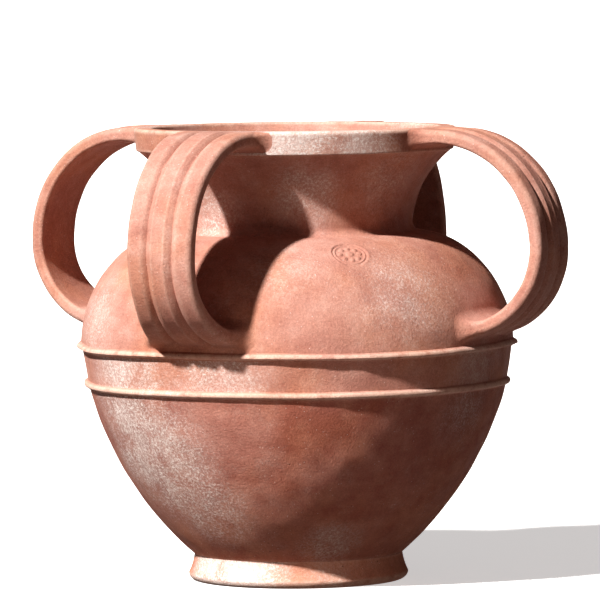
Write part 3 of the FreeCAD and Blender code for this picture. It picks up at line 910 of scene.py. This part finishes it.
def strap(name, node, degrees, seed, root_lift):
    stations, run = strap_stations(node, root_lift)
    skin, facing = strap_skin(stations, run, seed)
    rows = strap_rows(skin, run)
    count, loops = rows.shape[1], rows.shape[0]
    points = np.empty((count, loops, 3))
    outward = np.empty_like(points)
    for j in range(loops):
        for axis in range(3):
            points[:, j, axis] = np.interp(rows[j], run, skin[:, j, axis])
            outward[:, j, axis] = np.interp(rows[j], run, facing[:, j, axis])

    plain_section = strap_section(STRAP_WIDTH / 2, 1, 0, GROOVE_DEPTH)
    at_rim = np.repeat(np.arange(count) < count // 2, loops)
    face_across, face_out = np.tile(plain_section[:, 2], count), np.tile(plain_section[:, 3], count)
    moved, away = smeared(points.reshape(-1, 3), outward.reshape(-1, 3), at_rim, face_across, face_out)
    turn = Matrix.Rotation(math.radians(degrees), 3, "Z")
    placed = (moved @ np.array(turn).T).reshape(points.shape)
    wear = np.tile(rubbed(plain_section[:, :2]), (count, 1)) * smooth_step(away.reshape(count, loops) / FADE)
    return clay_mesh(name, node, placed, wear, close_ends=True)


for side, degrees, seed, root_lift in (
    ("right", 0, 31, 1.0 * mm),
    ("back", 91.1, 32, 0.0),
    ("left", 180, 33, 5.5 * mm),
    ("front", 270, 34, 0.0),
):
    handle = strap(f"strap_{side}_clay", f"handle_{side}", degrees, seed, root_lift)
    fired_clay(handle, rub=0.15, wiping=WIPED_ALL_WAYS)

# ---------------------------------------------------------------- floor, light and camera
# A pale floor that runs far back, a sun from the upper left in front, and a weak warm light that lies
# low in front of the pot, as sunlit ground would throw up.

floor_mesh = bpy.data.meshes.new("studio_floor")
FLOOR_HALF = 200
corners = [(-FLOOR_HALF, -FLOOR_HALF, 0), (FLOOR_HALF, -FLOOR_HALF, 0), (FLOOR_HALF, FLOOR_HALF, 0)]
floor_mesh.from_pydata(corners + [(-FLOOR_HALF, FLOOR_HALF, 0)], [], [(0, 1, 2, 3)])
floor = bpy.data.objects.new("studio_floor", floor_mesh)
bpy.context.scene.collection.objects.link(floor)
floor.visible_diffuse = False
floor_paint = bpy.data.materials.new("studio_floor_paint")
floor_paint.use_nodes = True
floor_shader = floor_paint.node_tree.nodes["Principled BSDF"]
floor_shader.inputs["Base Color"].default_value = (0.88, 0.88, 0.88, 1)
floor_shader.inputs["Roughness"].default_value = 0.9
floor_shader.inputs["Emission Color"].default_value = (1, 1, 1, 1)
floor_shader.inputs["Emission Strength"].default_value = 0.45
floor_mesh.materials.append(floor_paint)

CAMERA_AZIMUTH = math.radians(27.5)
CAMERA_ELEVATION = math.radians(4.03)
CAMERA_ROLL = math.radians(0.53)
CAMERA_DISTANCE = 6.526
CAMERA_HEIGHT_AIM = 0.2486
AIM_RIGHT = 0.00404
AIM_UP = 0.05895
back = Vector((
    math.sin(CAMERA_AZIMUTH) * math.cos(CAMERA_ELEVATION),
    -math.cos(CAMERA_AZIMUTH) * math.cos(CAMERA_ELEVATION),
    math.sin(CAMERA_ELEVATION),
))
right = Vector((math.cos(CAMERA_AZIMUTH), math.sin(CAMERA_AZIMUTH), 0))
up = back.cross(right)
middle = Vector((0, 0, CAMERA_HEIGHT_AIM))
position = middle + back * CAMERA_DISTANCE
aim = middle + right * AIM_RIGHT + up * AIM_UP
back = (position - aim).normalized()
right = up.cross(back).normalized()
up = back.cross(right)
rolled_right = right * math.cos(CAMERA_ROLL) - up * math.sin(CAMERA_ROLL)
rolled_up = up * math.cos(CAMERA_ROLL) + right * math.sin(CAMERA_ROLL)
camera_data = bpy.data.cameras.new("camera")
camera_data.lens = 354.4
camera_data.sensor_width = 36
camera_data.clip_end = 1000
camera = bpy.data.objects.new("camera", camera_data)
camera.matrix_world = Matrix((
    (rolled_right.x, rolled_up.x, back.x, position.x),
    (rolled_right.y, rolled_up.y, back.y, position.y),
    (rolled_right.z, rolled_up.z, back.z, position.z),
    (0, 0, 0, 1),
))
bpy.context.scene.collection.objects.link(camera)
bpy.context.scene.camera = camera


SUN_AZIMUTH = CAMERA_AZIMUTH - math.radians(44)
SUN_ELEVATION = math.radians(43)
towards_sun = Vector((
    math.sin(SUN_AZIMUTH) * math.cos(SUN_ELEVATION),
    -math.cos(SUN_AZIMUTH) * math.cos(SUN_ELEVATION),
    math.sin(SUN_ELEVATION),
))
sun_data = bpy.data.lights.new("key", "SUN")
sun_data.angle = math.radians(3)
sun_data.energy = 6.3
sun_data.color = (1.0, 0.975, 0.94)
sun = bpy.data.objects.new("key", sun_data)
sun.rotation_euler = towards_sun.to_track_quat("Z", "Y").to_euler()
bpy.context.scene.collection.objects.link(sun)

BOUNCE_DISTANCE = 0.60
BOUNCE_LEVEL = 12 * mm
BOUNCE_AIM = 160 * mm
bounce_data = bpy.data.lights.new("bounce", "AREA")
bounce_data.shape = "RECTANGLE"
bounce_data.size, bounce_data.size_y = 0.8, 0.3
bounce_data.energy = 0.85
bounce_data.color = (1.0, 0.80, 0.68)
bounce = bpy.data.objects.new("bounce", bounce_data)
towards_camera = Vector((math.sin(CAMERA_AZIMUTH), -math.cos(CAMERA_AZIMUTH), 0))
bounce.location = towards_camera * BOUNCE_DISTANCE + Vector((0, 0, BOUNCE_LEVEL))
bounce.rotation_euler = (bounce.location - Vector((0, 0, BOUNCE_AIM))).to_track_quat("Z", "Y").to_euler()
bounce.visible_camera = False
bpy.context.scene.collection.objects.link(bounce)

world = bpy.data.worlds.new("studio")
world.use_nodes = True
world.node_tree.nodes["Background"].inputs["Color"].default_value = (1.0, 0.74, 0.68, 1)
world.node_tree.nodes["Background"].inputs["Strength"].default_value = 0.085
bpy.context.scene.world = world
bpy.context.scene.view_settings.view_transform = "Standard"
bpy.context.scene.view_settings.look = "Medium High Contrast"
